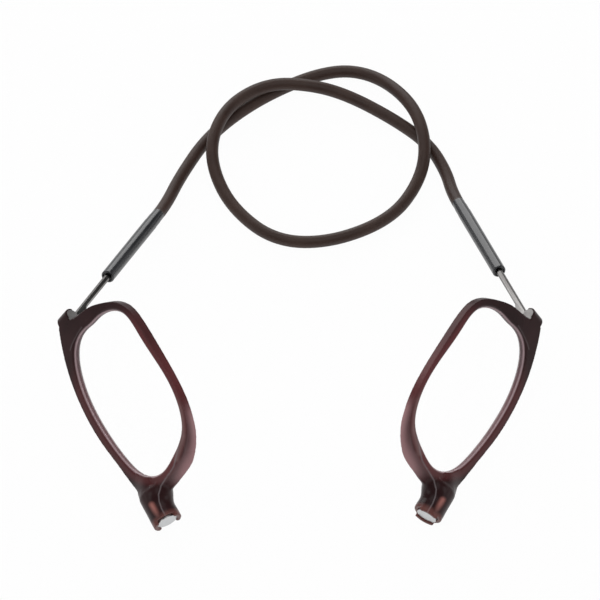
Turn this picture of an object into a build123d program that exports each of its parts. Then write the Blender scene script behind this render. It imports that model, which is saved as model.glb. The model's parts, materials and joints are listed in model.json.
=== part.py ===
from build123d import *
import math
import os

# Reading glasses that part at a magnet in the bridge and hang from a neck cord.
# Each half is drawn in its own frame: the hinge axis is Z, +X runs to the nose, +Y runs
# back to the ear and +Z runs from the brow to the bottom of the lens. The halves lie
# brow down on a table, as in the photograph, and the right one is a mirrored half.

# Lens opening
lens_width = 48.7
lens_height = 32.2
lens_centre_x = 31.75
lens_centre_z = 6.2
lens_shape_shares = [
    (-1.00, -0.10), (-0.90, -0.65), (-0.55, -0.93), (0.00, -1.00), (0.50, -0.89),
    (0.85, -0.65), (1.00, -0.25), (0.965, 0.25), (0.83, 0.72), (0.55, 0.95),
    (0.10, 1.00), (-0.40, 0.93), (-0.78, 0.83), (-0.93, 0.55), (-0.985, 0.25),
]

# Rim
rim_depth = 2.8
front_reach = 2.2
side_bar = 5.3
brow_bar = 3.0
cheek_bar = 2.2
nasal_bevel = 2.7
temple_bevel = 1.3
rim_shape_shares = [
    (-1.071, -0.615), (-0.899, -0.743), (-0.629, -0.893), (-0.359, -0.979),
    (-0.089, -1.003), (0.180, -0.968), (0.450, -0.890), (0.720, -0.818),
    (0.922, -0.684), (0.990, -0.417), (1.000, -0.096), (0.990, 0.171),
    (0.943, 0.439), (0.838, 0.684), (0.669, 0.872), (0.417, 0.979),
    (0.113, 1.000), (-0.191, 0.984), (-0.460, 0.957), (-0.663, 0.877),
    (-0.791, 0.706), (-0.872, 0.492), (-0.946, 0.225), (-1.003, -0.070),
    (-1.042, -0.246),
]
# How much of the nasal bevel (+) or temple bevel (-) the front outline takes at each point
rim_bevel_shares = [
    -1, -0.5, 0, 0, 0, 0, 0, 0.3, 0.8, 1, 1, 1, 0.8, 0.4, 0.1, 0, 0, 0, 0, 0, 0, 0, 0, -0.5, -1,
]
lip_bevel = 0.7
lip_behind = 1.0
flare_width = 0.8

# Lens and its groove
lens_thickness = 0.9
groove_depth = 0.6
lens_play = 0.05
lens_dome = 1.0
lens_dome_gap = 0.1

# Nose pad moulded behind the rim
pad_reach = 1.8
pad_width = 2.6
pad_shape_shares = [(0.975, -0.56), (0.985, -0.33), (0.965, -0.09), (0.925, 0.17), (0.86, 0.39)]
pad_root = 0.5
pad_narrow = 0.7

# Bridge barrel, magnet and interlocking teeth
barrel_radius = 4.3
barrel_z = -5.95
barrel_ahead = 0.4
barrel_start = 58.1
barrel_blend = 3.6
barrel_blend_radius = 2.4
neck_start = 57.6
neck_end = 60.4
neck_taper = 2.5
neck_radius = 4.6
neck_back = 0.3
neck_down = 1.7
neck_sink = 0.1
magnet_plane = 67.4
magnet_radius = 3.0
magnet_length = 3.5
magnet_play = 0.03
tooth_rise = 0.45
tooth_gap = 0.1
tooth_side_angle = 3.0
left_notch_turn = 45.0
right_notch_turn = 135.0
cut_margin = 1.0

# Endpiece round the hinge
endpiece_wall = 0.4
endpiece_inner = 5.0

# Hinge leaf, screw and arm eye
eye_radius = 1.7
eye_play = 0.1
top_eye = 1.4
arm_eye = 2.0
eye_gap = 0.1
bottom_eye = 1.4
leaf_web_near = 0.8
leaf_web_far = 3.0
leaf_web_front = 1.9
leaf_web_back = 0.85
screw_radius = 0.6
screw_play = 0.03
screw_head_radius = 1.05
screw_head = 0.6
screw_slot = 0.25
screw_slot_depth = 0.25
screw_blind = 0.7

# Temple arm: a square bar with chamfered edges and a flared root
arm_width = 1.8
arm_offset = 1.05
arm_chamfer = 0.45
arm_length = 38.5
root_start = 0.5
flare_start = 6.8
flare_end = 9.7
flare_out = 1.1
fold_slot_reach = 4.9
fold_slot_wall = 1.55
slot_play = 0.25

# Sleeve, mouth bush, arm stop and cord joiner
sleeve_mouth = 24.9
sleeve_length = 35.0
sleeve_radius = 1.95
sleeve_bore = 1.3
sleeve_mouth_round = 0.4
sleeve_shoulder = 5.3
sleeve_shoulder_radius = 1.88
sleeve_neck = 2.4
sleeve_neck_radius = 1.8
bush_radius = 1.5
bush_length = 5.0
bush_recess = 0.4
bar_play = 0.05
stop_length = 1.5
stop_pin_radius = 0.6
stop_play = 0.05
joiner_length = 5.0
spigot_radius = 0.9
spigot_length = 2.5

# Neck cord
cord_diameter = 3.6
cord_lead = 5.2
arc_share = 0.45

# How the halves lie: heading, dip to the nose, lean of the lens and the arm's opening
left_rest_angles = (62.4, 12.5, 27.8, 30.3)
right_rest_angles = (60.9, 11.1, 27.1, 35.0)
left_hinge_place = (-65.0, -18.58, 23.59)
right_hinge_place = (-64.61, -17.28, 22.33)

# Route of the cord on the table from the left sleeve to the right one, corner by corner
cord_route = [
    (-34.6, 48.5, 1.8), (-26.3, 63.8, 1.8), (-11.0, 77.8, 1.8), (8.3, 87.6, 1.8),
    (21.5, 85.4, 2.4), (32.4, 72.0, 5.9), (36.3, 57.5, 5.9), (34.4, 46.0, 2.6), (26.0, 32.7, 1.8),
    (8.5, 24.2, 1.8), (-7.5, 24.8, 1.8), (-19.6, 36.5, 1.8), (-25.4, 49.5, 3.4),
    (-25.6, 60.5, 5.9), (-20.0, 72.3, 5.9), (-9.0, 79.4, 5.9), (3.5, 78.6, 5.9),
    (14.0, 77.0, 3.0), (27.0, 69.2, 1.8), (37.0, 60.2, 1.8), (41.9, 49.8, 2.0),
]

hinge_height = top_eye + arm_eye + bottom_eye + 2 * eye_gap
arm_eye_top = -(top_eye + eye_gap)
arm_axis_z = arm_eye_top - arm_eye / 2
ahead = Plane.XZ


def upright(radius, top, height, x=0, y=0):
    """A cylinder along Z whose upper face lies at top."""
    return Pos(x, y, top - height / 2) * Cylinder(radius, height)


def along(radius, start, length, x, z):
    """A cylinder along Y that starts at y = start."""
    return Pos(x, start + length / 2, z) * Rot(X=90) * Cylinder(radius, length)


def block(x0, x1, y0, y1, z0, z1):
    return Pos((x0 + x1) / 2, (y0 + y1) / 2, (z0 + z1) / 2) * Box(x1 - x0, y1 - y0, z1 - z0)


def closed_face(points):
    """A smooth closed outline, kept as four edges."""
    outline = Spline(points, periodic=True)
    return make_face([outline.trim(start / 4, (start + 1) / 4) for start in range(4)])


def lens_face(depth, grow=0):
    """The lens outline at a depth ahead of the hinge axis, grown all round."""
    half_x = lens_width / 2 + grow
    half_z = lens_height / 2 + grow
    points = [(lens_centre_x + sx * half_x, lens_centre_z + sz * half_z)
              for sx, sz in lens_shape_shares]
    return ahead.offset(depth) * closed_face(points)


def rim_point(share, bevel_share):
    half_x = lens_width / 2 + side_bar
    half_z = lens_height / 2 + (brow_bar + cheek_bar) / 2
    centre_z = lens_centre_z + (cheek_bar - brow_bar) / 2
    pull = nasal_bevel if bevel_share > 0 else temple_bevel
    return (lens_centre_x + share[0] * half_x - pull * bevel_share,
            centre_z + share[1] * half_z)


def rim_face(depth, bevelled):
    points = [rim_point(share, part if bevelled else 0)
              for share, part in zip(rim_shape_shares, rim_bevel_shares)]
    return ahead.offset(depth) * closed_face(points)


def rim_plate():
    """The rim's body between its back and front outlines."""
    back = rim_face(front_reach - rim_depth, False)
    front = rim_face(front_reach, True)
    return loft([back, front], ruled=True)


def pad_face(depth, narrow):
    half_x = lens_width / 2 + side_bar
    half_z = lens_height / 2 + (brow_bar + cheek_bar) / 2 - narrow
    crown = [(lens_centre_x + sx * half_x, lens_centre_z + sz * half_z) for sx, sz in pad_shape_shares]
    edge = Spline([(x - narrow, z) for x, z in crown])
    rib = Spline([(x - pad_width + narrow, z) for x, z in crown])
    ends = [Line(edge @ 0, rib @ 0), Line(edge @ 1, rib @ 1)]
    return ahead.offset(depth) * make_face([edge, rib] + ends)


def nose_pad():
    back = front_reach - rim_depth
    return loft([pad_face(back + pad_root, 0), pad_face(back - pad_reach, pad_narrow)], ruled=True)


def barrel_shell():
    """The bridge barrel, swelling out of the rim's nose corner."""
    tip = magnet_plane + tooth_rise
    blend_x = barrel_start - barrel_blend
    outline = [
        Line((blend_x, 0), (blend_x, barrel_blend_radius)),
        Line((blend_x, barrel_blend_radius), (barrel_start, barrel_radius)),
        Line((barrel_start, barrel_radius), (tip, barrel_radius)),
        Line((tip, barrel_radius), (tip, 0)),
        Line((tip, 0), (blend_x, 0)),
    ]
    solid = revolve(make_face(outline), Axis.X)
    return Pos(0, -barrel_ahead, barrel_z) * solid


def bridge_neck():
    """The swelling behind the barrel, where the nasal side sweeps round into it."""
    sections = []
    for x, radius, share in ((neck_start, neck_radius, 1), (neck_end, neck_radius, 1),
                             (neck_end + neck_taper, barrel_radius - neck_sink, 0)):
        centre = (x, neck_back * share - barrel_ahead, barrel_z + neck_down * share)
        sections.append(Plane(origin=centre, x_dir=(0, 1, 0), z_dir=(1, 0, 0)) * Circle(radius))
    return loft(sections, ruled=True)


def barrel_bore():
    tip = magnet_plane + tooth_rise + cut_margin
    start = magnet_plane - magnet_length
    hole = Pos((start + tip) / 2, 0, 0) * Rot(Y=90) * Cylinder(magnet_radius + magnet_play, tip - start)
    return Pos(0, -barrel_ahead, barrel_z) * hole


def tooth_notches(turn):
    """The two gaps between the teeth, a quarter turn each and set round by turn."""
    floor = magnet_plane - tooth_rise - tooth_gap
    top = magnet_plane + tooth_rise + cut_margin
    reach = barrel_radius + cut_margin
    half = math.radians(45 + tooth_side_angle / 2)
    far = (reach * math.cos(half), reach * math.sin(half))
    pie = make_face(Polyline((0, 0), far, (reach * math.sqrt(2), 0), (far[0], -far[1]), (0, 0)))
    wedge = extrude(pie, top - floor)
    notches = []
    for quarter in (turn, turn + 180):
        # Turned so that 0 points to +Z and a quarter turn on points ahead
        notches.append(Pos(floor, -barrel_ahead, barrel_z) * Rot(X=quarter) * Rot(Y=90) * Rot(Z=180) * wedge)
    return notches


def endpiece():
    """The corner that wraps the hinge, round on its outer side and flush with the front."""
    outer = eye_radius + eye_play + endpiece_wall
    back = rim_depth - front_reach
    wing = block(0, endpiece_inner, -front_reach, back, -hinge_height, 0)
    return upright(outer, 0, hinge_height) + wing


def hinge_pocket():
    """What the leaf, the arm's eye and the folding arm need out of the rim."""
    top_cut = upright(eye_radius, cut_margin, top_eye + cut_margin)
    low = -(hinge_height + cut_margin)
    bottom_top = -(top_eye + arm_eye + 2 * eye_gap)
    bottom_cut = upright(eye_radius, bottom_top, bottom_top - low)
    eye_cut = upright(eye_radius + eye_play, -top_eye, arm_eye + 2 * eye_gap)
    back = block(-eye_radius, endpiece_inner - rim_depth, 0, eye_radius + cut_margin,
                 low, cut_margin)
    slot_z = arm_eye / 2 + slot_play
    slot = block(0, fold_slot_reach, fold_slot_wall - front_reach, eye_radius + cut_margin,
                 arm_axis_z - slot_z, arm_axis_z + slot_z)
    web = leaf_web_block()
    return [top_cut, bottom_cut, eye_cut, back, slot, web]


def leaf_web_block(top=0, height=hinge_height):
    return block(leaf_web_near, leaf_web_far, -leaf_web_front, -leaf_web_back, top - height, top)


def opening_cuts():
    """The opening, bevelled in front and flared behind, and the groove for the lens."""
    back = front_reach - rim_depth
    lip = front_reach - lip_bevel
    lip_back = lip - lip_behind
    deep = pad_reach + cut_margin
    slope = flare_width / (lip_back - back)
    sections = [
        lens_face(back - deep, flare_width + deep * slope),
        lens_face(lip_back),
        lens_face(lip),
        lens_face(front_reach + cut_margin, lip_bevel + cut_margin),
    ]
    groove = extrude(lens_face(groove_front() - lens_thickness, groove_depth), lens_thickness)
    return [loft(sections, ruled=True), groove]


def groove_front():
    return front_reach - lip_bevel - (lip_behind - lens_thickness) / 2


def rim(notch_turn):
    body = rim_plate() + nose_pad() + barrel_shell() + bridge_neck() + endpiece()
    cuts = opening_cuts() + [barrel_bore()] + tooth_notches(notch_turn) + hinge_pocket()
    for cut in cuts:
        body -= cut
    return body


def lens():
    front = groove_front()
    plate = extrude(lens_face(front - lens_thickness, groove_depth - lens_play), lens_thickness)
    cap = extrude(lens_face(front, -lens_dome_gap), lens_dome)
    half = lens_width / 2
    bend = (half ** 2 + lens_dome ** 2) / (2 * lens_dome)
    centre_y = bend - front - lens_dome
    ball = Pos(lens_centre_x, centre_y, lens_centre_z) * Sphere(bend)
    return plate + (cap & ball)


def bridge_magnet():
    centre = magnet_plane - magnet_length / 2
    disc = Rot(Y=90) * Cylinder(magnet_radius, magnet_length)
    return Pos(centre, -barrel_ahead, barrel_z) * disc


def hinge_leaf():
    """Two eyes joined by a web that sits in the endpiece."""
    bottom_top = -(top_eye + arm_eye + 2 * eye_gap)
    leaf = upright(eye_radius, 0, top_eye) + upright(eye_radius, bottom_top, bottom_eye)
    web = leaf_web_block() - upright(eye_radius + eye_play, cut_margin, hinge_height + 2 * cut_margin)
    leaf += web + leaf_web_block(0, top_eye) + leaf_web_block(bottom_top, bottom_eye)
    shank_top = -screw_blind
    leaf -= upright(screw_radius, shank_top, hinge_height)
    leaf -= upright(screw_head_radius, -(hinge_height - screw_head), screw_head + cut_margin)
    return leaf


def hinge_screw():
    shank = upright(screw_radius, -screw_blind, hinge_height - screw_blind)
    head = upright(screw_head_radius, -(hinge_height - screw_head), screw_head)
    slot = block(-screw_head_radius, screw_head_radius, -screw_slot / 2, screw_slot / 2,
                 -hinge_height, -hinge_height + screw_slot_depth)
    return shank + head - slot


def temple_arm(angle):
    """The eye, the flared root and the bar that slides in the sleeve."""
    left = arm_offset - arm_width / 2
    right = arm_offset + arm_width / 2
    bar_end = arm_length - stop_length
    flare_x = right + flare_out
    middle = ((right + flare_x) / 2 - flare_out / 4, (flare_start + flare_end) / 2 - flare_out / 4)
    outline = [
        Line((left, root_start), (left, bar_end)),
        Line((left, bar_end), (right, bar_end)),
        Line((right, bar_end), (right, flare_end)),
        ThreePointArc((right, flare_end), middle, (flare_x, flare_start)),
        Line((flare_x, flare_start), (arm_offset, root_start)),
        Line((arm_offset, root_start), (left, root_start)),
    ]
    profile = Pos(0, 0, arm_axis_z - arm_eye / 2) * make_face(outline)
    bar = extrude(profile, arm_eye)
    long_edges = [e for e in bar.edges().filter_by(Axis.Y) if e.length > flare_end]
    bar = chamfer(long_edges, arm_chamfer)
    eye = upright(eye_radius, arm_eye_top, arm_eye)
    tail = along(stop_pin_radius, bar_end, stop_length, arm_offset, arm_axis_z)
    hole = upright(screw_radius + screw_play, 0, hinge_height)
    return Rot(Z=angle) * (bar + eye + tail - hole)


def arm_stop(angle):
    ring = along(sleeve_bore - stop_play, arm_length - stop_length, stop_length, arm_offset, arm_axis_z)
    ring -= along(stop_pin_radius, arm_length - stop_length, stop_length, arm_offset, arm_axis_z)
    return Rot(Z=angle) * ring


def sleeve(angle):
    end = sleeve_mouth + sleeve_length
    tube = along(sleeve_radius, sleeve_mouth, sleeve_length - sleeve_shoulder, arm_offset, arm_axis_z)
    tube = fillet(tube.edges().sort_by(Axis.Y)[0], sleeve_mouth_round)
    tube += along(sleeve_shoulder_radius, end - sleeve_shoulder, sleeve_shoulder - sleeve_neck,
                  arm_offset, arm_axis_z)
    tube += along(sleeve_neck_radius, end - sleeve_neck, sleeve_neck, arm_offset, arm_axis_z)
    tube -= along(sleeve_bore, sleeve_mouth, sleeve_length, arm_offset, arm_axis_z)
    tube -= along(bush_radius, sleeve_mouth, bush_recess + bush_length, arm_offset, arm_axis_z)
    return Rot(Z=angle) * tube


def sleeve_bush(angle):
    start = sleeve_mouth + bush_recess
    half_x = arm_width / 2 + bar_play
    half_z = arm_eye / 2 + bar_play
    bush = along(bush_radius, start, bush_length, arm_offset, arm_axis_z)
    slot = block(arm_offset - half_x, arm_offset + half_x, start, start + bush_length,
                 arm_axis_z - half_z, arm_axis_z + half_z)
    slot = chamfer(slot.edges().filter_by(Axis.Y), arm_chamfer)
    return Rot(Z=angle) * (bush - slot)


def cord_joiner(angle):
    end = sleeve_mouth + sleeve_length
    plug = along(sleeve_bore, end - joiner_length, joiner_length, arm_offset, arm_axis_z)
    spigot = along(spigot_radius, end, spigot_length, arm_offset, arm_axis_z)
    return Rot(Z=angle) * (plug + spigot)


def rest_place(place, angles):
    heading, dip, lean, _ = angles
    return Pos(*place) * Rot(Z=-heading) * Rot(Y=dip) * Rot(X=-lean)


def half_pieces(side, place, angles, notch_turn):
    """Every piece of one half, named and placed as a left half."""
    opening = angles[3]
    pieces = {
        "rim": rim(notch_turn),
        "lens": lens(),
        "bridge_magnet": bridge_magnet(),
        "hinge_leaf": hinge_leaf(),
        "hinge_screw": hinge_screw(),
        "temple_arm": temple_arm(opening),
        "arm_stop": arm_stop(opening),
        "sleeve": sleeve(opening),
        "sleeve_bush": sleeve_bush(opening),
        "cord_joiner": cord_joiner(opening),
    }
    rest = rest_place(place, angles)
    return {f"{name}_{side}": rest * piece for name, piece in pieces.items()}


def sleeve_end(place, angles, beyond):
    """A point on the sleeve's axis, beyond its rear end, as a left half."""
    reach = sleeve_mouth + sleeve_length + beyond
    spot = rest_place(place, angles) * Rot(Z=angles[3]) * Pos(arm_offset, reach, arm_axis_z)
    return spot.position


def mirrored(point):
    return Vector(-point.X, point.Y, point.Z)


def cord_points():
    start = sleeve_end(left_hinge_place, left_rest_angles, 0)
    lead_in = sleeve_end(left_hinge_place, left_rest_angles, cord_lead)
    lead_out = mirrored(sleeve_end(right_hinge_place, right_rest_angles, cord_lead))
    end = mirrored(sleeve_end(right_hinge_place, right_rest_angles, 0))
    return [start, lead_in] + [Vector(*p) for p in cord_route] + [lead_out, end]


def cord_path(points):
    radii = []
    for before, corner, after in zip(points, points[1:], points[2:]):
        arriving = corner - before
        leaving = after - corner
        half_turn = math.radians(arriving.get_angle(leaving)) / 2
        shorter = min(arriving.length, leaving.length)
        radii.append(arc_share * shorter / math.tan(half_turn))
    print("cord arc radii", [round(r, 1) for r in radii])
    return FilletPolyline(*points, radius=radii)


def least_gap(path, count=400, apart=12):
    """The cord's least clearance to itself, on points along its path."""
    spots = [path @ (i / count) for i in range(count + 1)]
    near = min((a - b).length for i, a in enumerate(spots) for b in spots[i + apart:])
    return near - cord_diameter


def neck_cord():
    points = cord_points()
    path = cord_path(points)
    section = Plane(origin=path @ 0, z_dir=path % 0) * Circle(cord_diameter / 2)
    tube = sweep(section, path=path)
    for spot, way in ((0, 1), (1, -1)):
        bore = Plane(origin=path @ spot, z_dir=(path % spot) * way)
        tube -= bore * Pos(0, 0, spigot_length / 2) * Cylinder(spigot_radius, spigot_length)
    print("cord length", round(path.length, 1), "least gap", round(least_gap(path), 2))
    print("cord volume", round(tube.volume, 1), "section by length",
          round(math.pi * (cord_diameter / 2) ** 2 * path.length, 1))
    return tube


def whole():
    pieces = half_pieces("left", left_hinge_place, left_rest_angles, left_notch_turn)
    right = half_pieces("right", right_hinge_place, right_rest_angles, right_notch_turn)
    for name, piece in right.items():
        pieces[name] = mirror(piece, about=Plane.YZ)
    # The origin stands on the table under the middle of everything but the cord
    box = Compound(list(pieces.values())).bounding_box()
    pieces["neck_cord"] = neck_cord()
    shift = Pos(-box.center().X, -box.center().Y, -box.min.Z)
    print("shift to the table", [round(v, 3) for v in shift.position])
    return {name: shift * piece for name, piece in pieces.items()}


os.makedirs("parts", exist_ok=True)
for name, piece in whole().items():
    export_step(piece, f"parts/{name}.step")
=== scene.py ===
import json
import math
import bpy
from mathutils import Matrix, Vector
from mathutils.bvhtree import BVHTree


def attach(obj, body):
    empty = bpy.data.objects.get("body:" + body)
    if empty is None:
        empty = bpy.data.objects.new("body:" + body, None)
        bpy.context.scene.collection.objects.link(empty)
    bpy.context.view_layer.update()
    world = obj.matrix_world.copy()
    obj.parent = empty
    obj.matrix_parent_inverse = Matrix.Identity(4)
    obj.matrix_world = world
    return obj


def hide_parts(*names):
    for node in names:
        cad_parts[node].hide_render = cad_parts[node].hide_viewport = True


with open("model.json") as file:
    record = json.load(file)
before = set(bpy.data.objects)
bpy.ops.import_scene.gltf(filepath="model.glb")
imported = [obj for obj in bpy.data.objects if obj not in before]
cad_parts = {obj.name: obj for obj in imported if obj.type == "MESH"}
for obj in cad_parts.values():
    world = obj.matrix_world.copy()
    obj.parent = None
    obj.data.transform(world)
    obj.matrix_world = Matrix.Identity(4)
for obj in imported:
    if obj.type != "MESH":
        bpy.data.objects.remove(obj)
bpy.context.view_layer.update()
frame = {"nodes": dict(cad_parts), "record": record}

# Reading glasses in two halves, lying brow down with their neck cord in a loose loop.
mm = 0.001
sides = ("left", "right")


def deselectAll():
    if bpy.context.object and bpy.context.object.mode != "OBJECT":
        bpy.ops.object.mode_set(mode="OBJECT")
    bpy.ops.object.select_all(action="DESELECT")


# camera: the photograph looks down at the table from the open side
camera = {
    "target": (0, 0.01748, 0.01003),
    "elevation": 52.5,
    "distance": 4.762,
    "lens": 1000,
    "sensor": 36,
    "farthest": 50,
}


def cameraBack():
    tilt = math.radians(camera["elevation"])
    return Vector((0, -math.cos(tilt), math.sin(tilt)))


def addCamera():
    data = bpy.data.cameras.new("camera")
    data.lens = camera["lens"]
    data.sensor_width = camera["sensor"]
    data.clip_end = camera["farthest"]
    cam = bpy.data.objects.new("camera", data)
    bpy.context.collection.objects.link(cam)
    cam.location = Vector(camera["target"]) + cameraBack() * camera["distance"]
    cam.rotation_mode = "QUATERNION"
    cam.rotation_quaternion = (-cameraBack()).to_track_quat("-Z", "Y")
    bpy.context.scene.camera = cam


addCamera()
print("camera placed")

# cord: the route of the CAD tube, in metres, as control points of one smooth line
cord = {
    "diameter": 0.0036,
    "length": 0.328,
    "steps": 10,
    "round": 10,
    "points": [
        (-0.0408, 0.0531, 0.0040), (-0.0386, 0.0576, 0.0025), (-0.0344, 0.0688, 0.0018),
        (-0.0261, 0.0841, 0.0018), (-0.0108, 0.0981, 0.0018), (0.0085, 0.1079, 0.0018),
        (0.0217, 0.1057, 0.0024), (0.0326, 0.0923, 0.0059), (0.0365, 0.0778, 0.0059),
        (0.0346, 0.0663, 0.0026), (0.0262, 0.0530, 0.0018), (0.0087, 0.0445, 0.0018),
        (-0.0073, 0.0451, 0.0018), (-0.0194, 0.0568, 0.0018), (-0.0252, 0.0698, 0.0034),
        (-0.0254, 0.0808, 0.0059), (-0.0198, 0.0926, 0.0059), (-0.0088, 0.0997, 0.0059),
        (0.0037, 0.0989, 0.0059), (0.0142, 0.0973, 0.0030), (0.0272, 0.0895, 0.0018),
        (0.0372, 0.0805, 0.0018), (0.0421, 0.0701, 0.0020), (0.0438, 0.0616, 0.0031),
        (0.0455, 0.0569, 0.0044),
    ],
}


# the radius is set at the points and the bevel is 1, because a curve's box counts its points' radius
def makeCord():
    curve = bpy.data.curves.new("neckCord", "CURVE")
    curve.dimensions = "3D"
    curve.resolution_u = cord["steps"]
    line = curve.splines.new("NURBS")
    line.points.add(len(cord["points"]) - 1)
    for point, place in zip(line.points, cord["points"]):
        point.co = (*place, 1)
        point.radius = cord["diameter"] / 2
    line.order_u = 3
    line.use_endpoint_u = True
    curve.bevel_depth = 1
    curve.bevel_resolution = cord["round"]
    curve.use_fill_caps = True
    piece = bpy.data.objects.new("neckCord", curve)
    bpy.context.collection.objects.link(piece)
    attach(piece, "headband")
    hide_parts("neck_cord")
    return piece


neckCord = makeCord()
print("cord laid")

# how each half lies, in millimetres and degrees: its own frame has the hinge axis on Z,
# the nose on +X, the ear on +Y and the bottom of the lens on +Z
rest = {
    "shift": (0.234, 20.348, 0.033),
    "left": {"place": (-65.0, -18.58, 23.59), "turns": (62.4, 12.5, 27.8)},
    "right": {"place": (-64.61, -17.28, 22.33), "turns": (60.9, 11.1, 27.1)},
}


def halfFrame(side):
    heading, dip, lean = (math.radians(turn) for turn in rest[side]["turns"])
    lie = Matrix.Translation(Vector(rest[side]["place"]) * mm)
    for angle, axis in ((-heading, "Z"), (dip, "Y"), (-lean, "X")):
        lie = lie @ Matrix.Rotation(angle, 4, axis)
    if side == "right":
        lie = Matrix.Diagonal((-1, 1, 1, 1)) @ lie
    return Matrix.Translation(Vector(rest["shift"]) * mm) @ lie


# rims: the CAD rim, recast with the soft edges and flowing neck of a moulding. The first two sizes are
# in metres, all others are millimetres in the half's own frame. A span of two numbers rises from the
# first to the second, and one of four falls again from the third to the fourth.
rimMoulding = {
    "voxel": 0.00019,
    "weld": 0.000002,
    "lensMiddle": (31.75, 0, 6.2),
    "front": -2.2,
    "back": 0.6,
    # the groove is closed, because the lens fills it: its Y, and how near to the lens it lies
    "groove": (-1.46, -0.54),
    "grooveFromLens": 1,
    # soft edges, with this share of the softening beside the hinge
    "softPasses": 9,
    "hingeShare": 0.25,
    "hingeSpan": (3.0, 8.0),
    # the neck's front rises in one slope along X to the top of the barrel, from this depth outwards
    "ramp": (50.5, 61.0),
    "rampDepth": 0.6,
    "barrelAhead": 0.4,
    "barrelRadius": 4.3,
    "barrelMiddle": -5.95,
    # then its hollows fill, while its edges lose only a share, the least on the brow side
    "neckPasses": 420,
    "neckSpan": (52.0, 57.5, 63.0, 65.5),
    "neckMiddle": -5.0,
    "neckReach": (9.0, 19.0),
    "neckFromLens": (1.2, 4.0),
    "neckLoss": (0.35, 1.0),
    "lossSpan": (-6.0, -3.5),
    # the nose side swells along Z, from an X on, where the surface turns to the nose
    "bulge": 0.6,
    "bulgeSpan": (-3.0, 5.0, 21.0, 27.0),
    "bulgeStart": (48, 54),
    "bulgeTurn": (0.0, 0.4),
    # past the crease the front falls away by a share of the distance, along Z
    "slope": 0.42,
    "slopeMost": 1.3,
    "slopeSpan": (-1, 2, 9, 19),
    # lines on the front: where they may show (lowest and highest X, lowest Z), how wide and how proud. They
    # carry painted highlights and a painted glow
    "lines": {
        # the crease: a small raised ridge with a painted highlight along it
        "creaseWithHighlight": {
            "within": (50, 99, -99), "width": 0.24, "rise": 0.09,
            "path": [(52.5, -2.2, 18.3), (55.0, -2.2, 14.3), (57.3, -2.2, 10.5), (58.1, -2.2, 8.8),
                     (58.5, -2.2, 6.5), (58.7, -2.2, 4.3), (59.1, -2.0, 0.4), (61.0, -3.1, -1.2),
                     (62.6, -3.0, -2.4), (64.8, -3.2, -2.7), (67.8, -3.2, -2.7)],
        },
        # the corner crease: a small raised ridge with a painted highlight along it
        "cornerCreaseWithHighlight": {
            "within": (-99, 11, -99), "width": 0.24, "rise": 0.07,
            "path": [(6.2, -2.2, 3.2), (6.5, -2.2, 0.6), (7.0, -2.2, -1.6), (7.5, -2.2, -3.5),
                     (8.3, -2.2, -5.3)],
        },
        # a painted glowing streak along the barrel
        "glowStreak": {
            "within": (60, 99, -99), "width": 0.85, "rise": 0,
            "path": [(62.3, -4.5, -4.1), (67.0, -4.5, -4.0)],
        },
        # a painted highlight along the rim's inner edge
        "sheenHighlight": {
            "within": (38, 99, 8), "width": 0.7, "rise": 0,
            "path": [(40.2, -2.2, 22.3), (46.9, -2.2, 22.1), (49.9, -2.2, 20.7), (53.8, -2.2, 17.8),
                     (57.3, -2.2, 11.0)],
        },
    },
    "lineTurn": (0.05, 0.3),  # a line shows where the surface faces the camera's first sight
}

# what the material reads from the rim for its painted glow, reflection and highlights, as spans of the same
# kind and shares
rimMarks = {
    # the corner crease's painted highlight counts at this share
    "cornerShare": 0.5,
    # glow streak: a painted glowing streak that fades along the barrel, whose mouth has a painted glow all
    # round
    "streakFade": 0.7,
    "streakFadeSpan": (62.5, 67),
    "mouthGlow": 0.42,
    "mouthSpan": (64.6, 67.3),
    # sheen: a painted highlight along the inner edge, from this X on
    "sheenStart": (38, 50),
    # lip: a painted highlight on the inner wall next to the lens, at full strength only in front of it
    "lipTurn": (0.25, 0.6),
    "lipFromLens": (0.25, 0.6),
    "lipBackSpan": (-1.6, -1.45),
    "lipBackShare": 0.35,
    # thin glow: a painted red glow where light would come through thin plastic, near the lens, most along the
    # lower bar and the nose, least by the hinge
    "thinFromLens": (1.2, 3.2),
    "barSpan": (9, 22, 58, 62),
    "barHeight": (-4, 8),
    "browShare": 0.6,
    # nose wall glow: a painted pink glow and reflection on the side wall by the nose, more towards the back
    "wallTurn": (0.0, 0.35),
    "wallStart": (44, 52),
    "wallHeight": (0, 10),
    "wallDepth": (-2.3, 0.3),
    "wallLeast": 0.26,
}


def eased(value, low, high):
    share = min(1, max(0, (value - low) / (high - low)))
    return share * share * (3 - 2 * share)


def risenAndFallen(value, span):
    return eased(value, *span[:2]) * (1 - eased(value, *span[2:]))


def distanceTo(path, spot):
    best = math.inf
    for first, second in zip(path, path[1:]):
        step = second - first
        share = min(1, max(0, (spot - first).dot(step) / step.length_squared))
        best = min(best, (first + step * share - spot).length)
    return best


def flattened(spot, sight):
    return spot - sight * spot.dot(sight)


def lensTree(side, toHalf):
    lens = frame["nodes"]["lens_" + side].data
    spots = [toHalf @ vertex.co / mm for vertex in lens.vertices]
    return BVHTree.FromPolygons(spots, [tuple(face.vertices) for face in lens.polygons])


def lensGap(lens, spot):
    return lens.find_nearest(spot)[3]


def applyModifier(piece, kind, name, **values):
    bpy.context.view_layer.objects.active = piece
    change = piece.modifiers.new(name, kind)
    for key, value in values.items():
        setattr(change, key, value)
    bpy.ops.object.modifier_apply(modifier=name)


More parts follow.
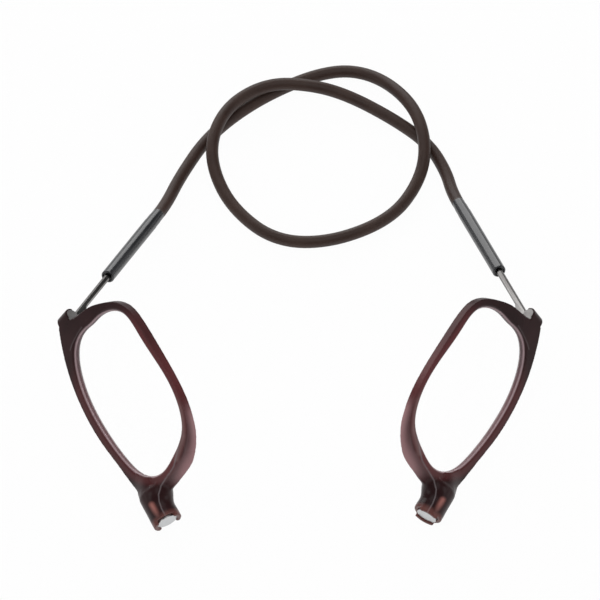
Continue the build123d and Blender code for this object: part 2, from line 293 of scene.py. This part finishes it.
# the faces of the groove go, and a strip across its mouth takes their place
def closeGroove(piece, toHalf, lens):
    inner, outer = rimMoulding["groove"]
    mesh = piece.data
    bpy.ops.mesh.select_all(action="DESELECT")
    bpy.ops.object.mode_set(mode="OBJECT")
    for face in mesh.polygons:
        spots = [toHalf @ mesh.vertices[index].co / mm for index in face.vertices]
        face.select = all(inner < spot.y < outer and lensGap(lens, spot) < rimMoulding["grooveFromLens"]
                          for spot in spots)
    bpy.ops.object.mode_set(mode="EDIT")
    bpy.ops.mesh.select_mode(type="FACE")
    bpy.ops.mesh.delete(type="FACE")
    bpy.ops.mesh.select_mode(type="EDGE")
    bpy.ops.mesh.select_non_manifold(extend=False)
    bpy.ops.mesh.bridge_edge_loops()


# the front rises in one slope from the bar to the top of the barrel
def rampNeck(piece, toWorld, toHalf):
    front, radius = rimMoulding["front"], rimMoulding["barrelRadius"]
    start, end = rimMoulding["ramp"]
    for vertex in piece.data.vertices:
        spot = toHalf @ vertex.co / mm
        aside = abs(spot.z - rimMoulding["barrelMiddle"])
        if spot.x < start or spot.x > end or aside > radius or spot.y > front + rimMoulding["rampDepth"]:
            continue
        crown = -rimMoulding["barrelAhead"] - math.sqrt(radius ** 2 - aside ** 2)
        height = front + min(0, crown - front) * eased(spot.x, start, end)
        spot.y = min(spot.y, height)
        vertex.co = toWorld @ (spot * mm)


def markSoftParts(piece, toHalf, lens):
    neck = piece.vertex_groups.new(name="neck")
    edges = piece.vertex_groups.new(name="edges")
    least = rimMoulding["hingeShare"]
    for vertex in piece.data.vertices:
        spot = toHalf @ vertex.co / mm
        share = risenAndFallen(spot.x, rimMoulding["neckSpan"])
        share *= 1 - eased(abs(spot.z - rimMoulding["neckMiddle"]), *rimMoulding["neckReach"])
        if share > 0:
            share *= eased(lensGap(lens, spot), *rimMoulding["neckFromLens"])
        if share > 0:
            neck.add([vertex.index], share, "REPLACE")
        edges.add([vertex.index], least + (1 - least) * eased(spot.x, *rimMoulding["hingeSpan"]), "REPLACE")


def soften(piece, group, passes):
    applyModifier(piece, "SMOOTH", group, factor=0.5, iterations=passes, vertex_group=group)


# smoothing fills the hollows of the neck, and takes hardly anything off its outer edges
def fillNeck(piece, toHalf):
    before = [(vertex.co.copy(), vertex.normal.copy()) for vertex in piece.data.vertices]
    soften(piece, "neck", rimMoulding["neckPasses"])
    least, most = rimMoulding["neckLoss"]
    for vertex, (old, normal) in zip(piece.data.vertices, before):
        move = vertex.co - old
        if move.dot(normal) < 0:
            height = (toHalf @ old).z / mm
            vertex.co = old + move * (least + (most - least) * eased(height, *rimMoulding["lossSpan"]))


def creaseAt(creaseWithHighlight, z):
    for first, second in zip(creaseWithHighlight, creaseWithHighlight[1:]):
        if second.z <= z <= first.z:
            return first.x + (second.x - first.x) * (first.z - z) / (first.z - second.z)
    return creaseWithHighlight[0].x if z > creaseWithHighlight[0].z else creaseWithHighlight[-1].x


# the nose side swells, and its front falls away past the crease
def shapeNose(spot, normal, creaseWithHighlight):
    past = spot.x - creaseAt(creaseWithHighlight, spot.z)
    fall = min(rimMoulding["slopeMost"], rimMoulding["slope"] * max(0, past))
    fall *= risenAndFallen(spot.z, rimMoulding["slopeSpan"])
    spot.y += fall * (1 - eased(spot.y, rimMoulding["front"], rimMoulding["back"]))
    swell = risenAndFallen(spot.z, rimMoulding["bulgeSpan"]) * eased(spot.x, *rimMoulding["bulgeStart"])
    spot.x += rimMoulding["bulge"] * swell * eased(normal.x, *rimMoulding["bulgeTurn"])


# how strongly each line's painted highlight or glow marks a spot, seen along the camera's first sight
def lineShares(spot, sight, facing, paths):
    shares = dict.fromkeys(paths, 0)
    flat = flattened(spot, sight)
    for name, line in rimMoulding["lines"].items():
        lowX, highX, lowZ = line["within"]
        if facing > 0 and lowX < spot.x < highX and spot.z > lowZ:
            shares[name] = facing * math.exp(-(distanceTo(paths[name], flat) / line["width"]) ** 2)
    return shares


# how red a bar's painted glow is where light comes through it
def barGlow(spot):
    brow = rimMarks["browShare"]
    lower = eased(spot.z, *rimMarks["barHeight"])
    return risenAndFallen(spot.x, rimMarks["barSpan"]) * (brow + (1 - brow) * lower)


# painted pink glow and reflection on the nose's side wall
def wallGlow(spot, normal):
    least = rimMarks["wallLeast"]
    nose = eased(normal.x, *rimMarks["wallTurn"]) * eased(spot.x, *rimMarks["wallStart"])
    nose *= eased(spot.z, *rimMarks["wallHeight"])
    return nose * (least + (1 - least) * eased(spot.y, *rimMarks["wallDepth"]))


# painted highlight on the lip beside the lens
def lipGlow(spot, normal, gap):
    inward = (Vector(rimMoulding["lensMiddle"]) - Vector((spot.x, 0, spot.z))).normalized()
    lipHighlight = eased(normal.dot(inward), *rimMarks["lipTurn"]) * (1 - eased(gap, *rimMarks["lipFromLens"]))
    return lipHighlight * (1 - (1 - rimMarks["lipBackShare"]) * eased(spot.y, *rimMarks["lipBackSpan"]))


def marksAt(spot, normal, gap, shares):
    along = shares["glowStreak"] * (1 - rimMarks["streakFade"] * eased(spot.x, *rimMarks["streakFadeSpan"]))
    return {
        "thinGlow": (1 - eased(gap, *rimMarks["thinFromLens"])) * barGlow(spot),
        "noseWallGlow": wallGlow(spot, normal),
        "creaseWithHighlight": shares["creaseWithHighlight"] + rimMarks["cornerShare"] * shares["cornerCreaseWithHighlight"],
        "glowStreak": max(along, rimMarks["mouthGlow"] * eased(spot.x, *rimMarks["mouthSpan"])),
        "sheenHighlight": shares["sheenHighlight"] * eased(spot.x, *rimMarks["sheenStart"]),
        "lipHighlight": lipGlow(spot, normal, gap),
    }


# the nose side and the raised lines are formed, and the marks of painted glow, reflection and highlights for
# the material are kept as attributes
def shapeFront(piece, toWorld, toHalf, lens):
    mesh = piece.data
    sight = (toHalf.to_3x3() @ cameraBack()).normalized()
    lines = rimMoulding["lines"]
    creaseWithHighlight = [Vector(spot) for spot in lines["creaseWithHighlight"]["path"]]
    paths = {name: [flattened(Vector(spot), sight) for spot in line["path"]] for name, line in lines.items()}
    normals = [(toHalf.to_3x3() @ vertex.normal).normalized() for vertex in mesh.vertices]
    marks = []
    for vertex, normal in zip(mesh.vertices, normals):
        spot = toHalf @ vertex.co / mm
        shapeNose(spot, normal, creaseWithHighlight)
        facing = eased(normal.dot(sight), *rimMoulding["lineTurn"])
        shares = lineShares(spot, sight, facing, paths)
        spot += normal * sum(line["rise"] * shares[name] for name, line in lines.items())
        vertex.co = toWorld @ (spot * mm)
        marks.append(marksAt(spot, normal, lensGap(lens, spot), shares))
    for name in marks[0]:
        mesh.attributes.new(name, "FLOAT", "POINT")
        mesh.attributes[name].data.foreach_set("value", [mark[name] for mark in marks])


def recast(piece, name):
    applyModifier(piece, "REMESH", name, mode="VOXEL", voxel_size=rimMoulding["voxel"], use_smooth_shade=True)


def makeRim(side):
    deselectAll()
    toWorld = halfFrame(side)
    toHalf = toWorld.inverted()
    lens = lensTree(side, toHalf)
    piece = bpy.data.objects.new("rimShell_" + side, frame["nodes"]["rim_" + side].data.copy())
    bpy.context.collection.objects.link(piece)
    piece.select_set(True)
    bpy.context.view_layer.objects.active = piece
    bpy.ops.object.mode_set(mode="EDIT")
    bpy.ops.mesh.select_all(action="SELECT")
    bpy.ops.mesh.remove_doubles(threshold=rimMoulding["weld"])
    closeGroove(piece, toHalf, lens)
    bpy.ops.object.mode_set(mode="OBJECT")
    recast(piece, "recast")
    rampNeck(piece, toWorld, toHalf)
    recast(piece, "ramped")
    markSoftParts(piece, toHalf, lens)
    soften(piece, "edges", rimMoulding["softPasses"])
    fillNeck(piece, toHalf)
    shapeFront(piece, toWorld, toHalf, lens)
    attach(piece, "front_" + side)
    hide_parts("rim_" + side)
    return piece


rimShells = {side: makeRim(side) for side in sides}
print("rims recast")


def newMaterial(name):
    material = bpy.data.materials.new(name)
    material.use_nodes = True
    nodes = material.node_tree.nodes
    return material, nodes, material.node_tree.links, nodes["Principled BSDF"]


def addNode(nodes, kind, **values):
    node = nodes.new(kind)
    for name, value in values.items():
        setattr(node, name, value)
    return node


def newGroup(name, inputs, outputs):
    group = bpy.data.node_groups.new(name, "ShaderNodeTree")
    for label, value in inputs.items():
        socket = group.interface.new_socket(name=label, in_out="INPUT", socket_type="NodeSocketFloat")
        socket.default_value = value
    for label in outputs:
        group.interface.new_socket(name=label, in_out="OUTPUT", socket_type="NodeSocketFloat")
    return group, group.nodes.new("NodeGroupInput"), group.nodes.new("NodeGroupOutput")


def addGroup(nodes, group, **values):
    node = addNode(nodes, "ShaderNodeGroup", node_tree=group)
    for name, value in values.items():
        node.inputs[name].default_value = value
    return node


# fine moulded grain: height for a bump, and a slow tone that varies colour and gloss
mouldedGrain = {"inputs": {"Scale": 4000.0, "Patch": 120.0}, "fineDetail": 3, "patchDetail": 2}


def makeGrainGroup():
    group, start, end = newGroup("mouldedGrain", mouldedGrain["inputs"], ("Height", "Tone"))
    place = group.nodes.new("ShaderNodeTexCoord")
    for scale, detail, result in (("Scale", "fineDetail", "Height"), ("Patch", "patchDetail", "Tone")):
        noise = group.nodes.new("ShaderNodeTexNoise")
        noise.inputs["Detail"].default_value = mouldedGrain[detail]
        group.links.new(place.outputs["Object"], noise.inputs["Vector"])
        group.links.new(start.outputs[scale], noise.inputs["Scale"])
        group.links.new(noise.outputs["Fac"], end.inputs[result])
    return group


# rubbed edges: where the surface is sharp, broken up by noise
rubbedEdges = {"inputs": {"Amount": 1.0, "Scale": 900.0}, "sharp": (0.52, 0.60), "detail": 4}


def makeWearGroup():
    group, start, end = newGroup("rubbedEdges", rubbedEdges["inputs"], ("Mask",))
    nodes, links = group.nodes, group.links
    place = nodes.new("ShaderNodeTexCoord")
    shape = nodes.new("ShaderNodeNewGeometry")
    sharp = addNode(nodes, "ShaderNodeMapRange", interpolation_type="SMOOTHSTEP")
    sharp.inputs["From Min"].default_value, sharp.inputs["From Max"].default_value = rubbedEdges["sharp"]
    broken = nodes.new("ShaderNodeTexNoise")
    broken.inputs["Detail"].default_value = rubbedEdges["detail"]
    both = addNode(nodes, "ShaderNodeMath", operation="MULTIPLY")
    scaled = addNode(nodes, "ShaderNodeMath", operation="MULTIPLY")
    links.new(place.outputs["Object"], broken.inputs["Vector"])
    links.new(start.outputs["Scale"], broken.inputs["Scale"])
    links.new(shape.outputs["Pointiness"], sharp.inputs["Value"])
    links.new(sharp.outputs["Result"], both.inputs[0])
    links.new(broken.outputs["Fac"], both.inputs[1])
    links.new(both.outputs["Value"], scaled.inputs[0])
    links.new(start.outputs["Amount"], scaled.inputs[1])
    links.new(scaled.outputs["Value"], end.inputs["Mask"])
    return group


grainGroup = makeGrainGroup()
wearGroup = makeWearGroup()
noiseSpan = (0.3, 0.7)  # most of a noise's values lie in here


def linkOrSet(links, value, socket):
    if hasattr(value, "links"):
        links.new(value, socket)
    else:
        socket.default_value = value


# sockets 6 and 7 of a Mix node are its two colours, and 2 and 3 its two numbers
def mixColours(nodes, links, mask, first, second):
    mix = addNode(nodes, "ShaderNodeMix", data_type="RGBA")
    for socket, colour in ((6, first), (7, second)):
        linkOrSet(links, (*colour, 1) if isinstance(colour, tuple) else colour, mix.inputs[socket])
    links.new(mask, mix.inputs[0])
    return mix.outputs[2]


def blended(nodes, links, mask, first, second):
    mix = addNode(nodes, "ShaderNodeMix", data_type="FLOAT")
    for socket, value in ((2, first), (3, second)):
        linkOrSet(links, value, mix.inputs[socket])
    links.new(mask, mix.inputs[0])
    return mix.outputs[0]


def mapped(nodes, links, value, low, high, newLow, newHigh):
    span = nodes.new("ShaderNodeMapRange")
    for name, number in (("From Min", low), ("From Max", high), ("To Min", newLow), ("To Max", newHigh)):
        span.inputs[name].default_value = number
    links.new(value, span.inputs["Value"])
    return span.outputs["Result"]


def setBump(nodes, links, shader, height, strength, distance):
    bump = nodes.new("ShaderNodeBump")
    bump.inputs["Strength"].default_value = strength
    bump.inputs["Distance"].default_value = distance
    links.new(height, bump.inputs["Height"])
    for name in ("Normal", "Coat Normal"):
        links.new(bump.outputs["Normal"], shader.inputs[name])


# dark burgundy plastic, with a painted red glow where it is thin. The layers lie on each other in this order:
# the mark that a layer follows, its colour, where its mark starts to show, and how much of it shows at most.
# All marks but the worn edges are painted light: glow, reflection and highlights
framePlastic = {
    "deep": (0.023, 0.0085, 0.0090),
    "body": (0.036, 0.0115, 0.0125),
    "bodySpan": (0.35, 0.65),
    "layers": [
        # painted red glow of light through thin plastic
        ("thinGlow", (0.135, 0.034, 0.036), 0, 1),
        # painted pink glow and reflection on the nose wall
        ("noseWallGlow", (0.42, 0.235, 0.245), 0, 1),
        # painted highlight along the inner edge
        ("sheenHighlight", (0.24, 0.15, 0.145), 0, 0.75),
        # painted highlight on the lip
        ("lipHighlight", (0.46, 0.33, 0.35), 0, 1),
        ("worn", (0.16, 0.10, 0.11), 0, 1),
        # painted highlight along the creases
        ("creaseWithHighlight", (0.26, 0.22, 0.23), 0.2, 0.6),
        # painted glowing streak on the barrel and painted glow at its mouth
        ("glowStreak", (0.50, 0.19, 0.16), 0.1, 0.8),
    ],
    "wear": 0.02,
    "grain": 5200,
    "patch": 90,
    "rough": (0.24, 0.34),
    "gloss": 0.22,
    "bend": 1.5,
    "bump": (0.10, 0.00004),
}


def makeFramePlastic():
    material, nodes, links, shader = newMaterial("framePlastic")
    grain = addGroup(nodes, grainGroup, Scale=framePlastic["grain"], Patch=framePlastic["patch"])
    wear = addGroup(nodes, wearGroup, Amount=framePlastic["wear"])
    tone = grain.outputs["Tone"]
    colour = mixColours(nodes, links, mapped(nodes, links, tone, *framePlastic["bodySpan"], 0, 1),
                        framePlastic["deep"], framePlastic["body"])
    for mark, layer, start, most in framePlastic["layers"]:
        if mark == "worn":
            mask = wear.outputs["Mask"]
        else:
            mask = addNode(nodes, "ShaderNodeAttribute", attribute_name=mark).outputs["Fac"]
        colour = mixColours(nodes, links, mapped(nodes, links, mask, start, 1, 0, most), colour, layer)
    links.new(colour, shader.inputs["Base Color"])
    links.new(mapped(nodes, links, tone, *noiseSpan, *framePlastic["rough"]), shader.inputs["Roughness"])
    shader.inputs["Specular IOR Level"].default_value = framePlastic["gloss"]
    shader.inputs["IOR"].default_value = framePlastic["bend"]
    setBump(nodes, links, shader, grain.outputs["Height"], *framePlastic["bump"])
    return material


# thin coated lens: almost no bending and hardly a reflection
lensFinish = {
    "grain": 900,
    "patch": 60,
    "bend": 1.08,
    "seen": 0.06,
    "hazeSpan": (0.5, 0.8),
    "rough": (0, 0.01),
}


def makeLensClear():
    material, nodes, links, shader = newMaterial("lensClear")
    grain = addGroup(nodes, grainGroup, Scale=lensFinish["grain"], Patch=lensFinish["patch"])
    haze = mapped(nodes, links, grain.outputs["Tone"], *lensFinish["hazeSpan"], *lensFinish["rough"])
    links.new(haze, shader.inputs["Roughness"])
    shader.inputs["Base Color"].default_value = (1, 1, 1, 1)
    shader.inputs["Transmission Weight"].default_value = 1
    shader.inputs["IOR"].default_value = lensFinish["bend"]
    shader.inputs["Alpha"].default_value = lensFinish["seen"]
    return material


# metals: brushed along the axis whose stretch is less than 1, rubbed bright at the edges
metals = {
    "magnet": {"name": "magnetNickel", "low": (0.46, 0.475, 0.49), "high": (0.56, 0.575, 0.59),
               "rough": (0.28, 0.36), "grain": 500, "stretch": (1, 1, 1), "bump": 0.003},
    "hinge steel": {"name": "hingeSteel", "low": (0.20, 0.186, 0.186), "high": (0.28, 0.264, 0.264),
                    "rough": (0.50, 0.62), "grain": 1800, "stretch": (1, 1, 1), "bump": 0.05},
    "arm steel": {"name": "armSteel", "low": (0.13, 0.124, 0.121), "high": (0.205, 0.197, 0.194),
                  "rough": (0.16, 0.26), "grain": 2400, "stretch": (1, 0.08, 1), "bump": 0.05},
}
allMetals = {"detail": 4, "wear": 0.5, "worn": (0.8, 0.79, 0.77), "bumpDepth": 0.00003}


def makeMetal(name, low, high, rough, grain, stretch, bump):
    material, nodes, links, shader = newMaterial(name)
    place = nodes.new("ShaderNodeTexCoord")
    drawn = nodes.new("ShaderNodeMapping")
    drawn.inputs["Scale"].default_value = stretch
    lines = nodes.new("ShaderNodeTexNoise")
    lines.inputs["Scale"].default_value = grain
    lines.inputs["Detail"].default_value = allMetals["detail"]
    links.new(place.outputs["Object"], drawn.inputs["Vector"])
    links.new(drawn.outputs["Vector"], lines.inputs["Vector"])
    wear = addGroup(nodes, wearGroup, Amount=allMetals["wear"])
    colour = mixColours(nodes, links, lines.outputs["Fac"], low, high)
    colour = mixColours(nodes, links, wear.outputs["Mask"], colour, allMetals["worn"])
    links.new(colour, shader.inputs["Base Color"])
    links.new(mapped(nodes, links, lines.outputs["Fac"], *noiseSpan, *rough), shader.inputs["Roughness"])
    shader.inputs["Metallic"].default_value = 1
    setBump(nodes, links, shader, lines.outputs["Fac"], bump, allMetals["bumpDepth"])
    return material


# plain plastics and rubber: mottled by the grain's slow tone, rubbed grey at the edges
plastics = {
    "bush plastic": {"name": "bushPlastic", "low": (0.008, 0.008, 0.009), "high": (0.016, 0.016, 0.018),
                     "rough": (0.4, 0.55), "grain": 5000, "patch": 200, "bump": 0.2, "gloss": 0.5},
    "sleeve plastic": {"name": "sleevePlastic", "low": (0.010, 0.0105, 0.014), "high": (0.017, 0.018, 0.023),
                       "rough": (0.20, 0.27), "grain": 2600, "patch": 150, "bump": 0.004, "gloss": 1.0},
    "cord rubber": {"name": "cordRubber", "low": (0.040, 0.019, 0.0135), "high": (0.056, 0.029, 0.021),
                    "rough": (0.44, 0.54), "grain": 2400, "patch": 110, "bump": 0.03, "gloss": 0.42},
}
allPlastics = {"wear": 0.3, "worn": (0.2, 0.2, 0.2), "bumpDepth": 0.00005}


def makePlastic(name, low, high, rough, grain, patch, bump, gloss):
    material, nodes, links, shader = newMaterial(name)
    moulded = addGroup(nodes, grainGroup, Scale=grain, Patch=patch)
    wear = addGroup(nodes, wearGroup, Amount=allPlastics["wear"])
    tone = moulded.outputs["Tone"]
    colour = mixColours(nodes, links, mapped(nodes, links, tone, *noiseSpan, 0, 1), low, high)
    colour = mixColours(nodes, links, wear.outputs["Mask"], colour, allPlastics["worn"])
    links.new(colour, shader.inputs["Base Color"])
    links.new(mapped(nodes, links, tone, *noiseSpan, *rough), shader.inputs["Roughness"])
    shader.inputs["Specular IOR Level"].default_value = gloss
    setBump(nodes, links, shader, moulded.outputs["Height"], bump, allPlastics["bumpDepth"])
    return material


materials = {"frame plastic": makeFramePlastic(), "lens": makeLensClear()}
for slot, finish in metals.items():
    materials[slot] = makeMetal(**finish)
for slot, finish in plastics.items():
    materials[slot] = makePlastic(**finish)
neckCord.data.materials.append(materials["cord rubber"])
for shell in rimShells.values():
    shell.data.materials.clear()
    shell.data.materials.append(materials["frame plastic"])
slotOf = {part["node"]: part["material_slot"] for part in frame["record"]["subparts"]}
for name, node in frame["nodes"].items():
    for place in node.material_slots:
        place.material = materials[slotOf[name]]
print("materials made")

# lights: a wide soft box low behind, a soft one overhead and weak ones at the sides
studio = {
    "behind": {"place": (-0.24, 0.94, 0.46), "size": (1.25, 0.70), "energy": 5.5},
    "over": {"place": (0, -0.10, 1.0), "size": (0.9, 0.9), "energy": 2.2},
    "left": {"place": (-0.95, -0.25, 0.45), "size": (0.5, 0.5), "energy": 0.9},
    "right": {"place": (0.95, -0.25, 0.45), "size": (0.5, 0.5), "energy": 0.9},
}
# room: its light on the object, and what gloss sees of it, which dims with height and along the floor
room = {
    "aim": (0, 0.02, 0.01),
    "diffuse": 0.38,
    "horizon": 0.75,
    "ceiling": 0.10,
    "ceilingFrom": 0.30,
    "floorSize": 30,
    "floorTone": 0.92,
    "floorRough": 0.9,
    "floorSpan": (0.09, 0.20),
    "floorGloss": (0.93, 0.25),
    "white": 0.97,  # the rest of the floor's look is its own, with the object's shadow
}


def anyOf(nodes, links, first, second):
    most = addNode(nodes, "ShaderNodeMath", operation="MAXIMUM")
    links.new(first, most.inputs[0])
    links.new(second, most.inputs[1])
    return most.outputs["Value"]


def mixShaders(nodes, links, mask, first, second):
    mix = nodes.new("ShaderNodeMixShader")
    links.new(mask, mix.inputs["Fac"])
    links.new(first, mix.inputs[1])
    links.new(second, mix.inputs[2])
    return mix.outputs["Shader"]


# a folded front swings below the table, so the camera sees white through the floor, with a trace of shadow
def makeFloor():
    deselectAll()
    bpy.ops.mesh.primitive_plane_add(size=room["floorSize"], location=(0, 0, 0))
    floor = bpy.context.object
    floor.name = "floor"
    material, nodes, links, shader = newMaterial("whiteSweep")
    shader.inputs["Base Color"].default_value = (*[room["floorTone"]] * 3, 1)
    shader.inputs["Roughness"].default_value = room["floorRough"]
    path = nodes.new("ShaderNodeLightPath")
    glossy, passing = path.outputs["Is Glossy Ray"], path.outputs["Is Transmission Ray"]
    place = nodes.new("ShaderNodeTexCoord")
    away = addNode(nodes, "ShaderNodeVectorMath", operation="LENGTH")
    links.new(place.outputs["Object"], away.inputs[0])
    dimmed = mapped(nodes, links, away.outputs["Value"], *room["floorSpan"], *room["floorGloss"])
    bounced = addNode(nodes, "ShaderNodeMath", operation="GREATER_THAN")
    links.new(glossy, bounced.inputs[0])
    links.new(passing, bounced.inputs[1])
    glow = nodes.new("ShaderNodeEmission")
    links.new(blended(nodes, links, bounced.outputs["Value"], 1.0, dimmed), glow.inputs["Strength"])
    reflected = mapped(nodes, links, anyOf(nodes, links, glossy, passing), 0, 1, 0, room["white"])
    seen = mapped(nodes, links, path.outputs["Is Camera Ray"], 0, 1, 0, room["white"])
    gap = nodes.new("ShaderNodeBsdfTransparent")
    lit = mixShaders(nodes, links, reflected, shader.outputs["BSDF"], glow.outputs["Emission"])
    through = anyOf(nodes, links, seen, path.outputs["Is Shadow Ray"])
    surface = mixShaders(nodes, links, through, lit, gap.outputs["BSDF"])
    links.new(surface, nodes["Material Output"].inputs["Surface"])
    floor.data.materials.append(material)


def addLight(name, place, size, energy):
    data = bpy.data.lights.new(name, "AREA")
    data.shape = "RECTANGLE"
    data.size, data.size_y = size
    data.energy = energy
    lamp = bpy.data.objects.new(name, data)
    bpy.context.collection.objects.link(lamp)
    lamp.location = place
    lamp.rotation_mode = "QUATERNION"
    lamp.rotation_quaternion = (Vector(room["aim"]) - Vector(place)).to_track_quat("-Z", "Y")


def lightRoom():
    world = bpy.data.worlds.new("studio")
    world.use_nodes = True
    bpy.context.scene.world = world
    nodes, links = world.node_tree.nodes, world.node_tree.links
    sky = nodes["Background"]
    sky.inputs["Color"].default_value = (1, 1, 1, 1)
    path = nodes.new("ShaderNodeLightPath")
    place = nodes.new("ShaderNodeTexCoord")
    height = nodes.new("ShaderNodeSeparateXYZ")
    links.new(place.outputs["Generated"], height.inputs["Vector"])
    wall = mapped(nodes, links, height.outputs["Z"], 0, room["ceilingFrom"], room["horizon"], room["ceiling"])
    strength = blended(nodes, links, path.outputs["Is Glossy Ray"], room["diffuse"], wall)
    clear = anyOf(nodes, links, path.outputs["Is Camera Ray"], path.outputs["Is Transmission Ray"])
    links.new(blended(nodes, links, clear, strength, 1.0), sky.inputs["Strength"])


makeFloor()
lightRoom()
for name, light in studio.items():
    addLight(name, **light)
bpy.context.scene.view_settings.view_transform = "Standard"
print("studio lit")
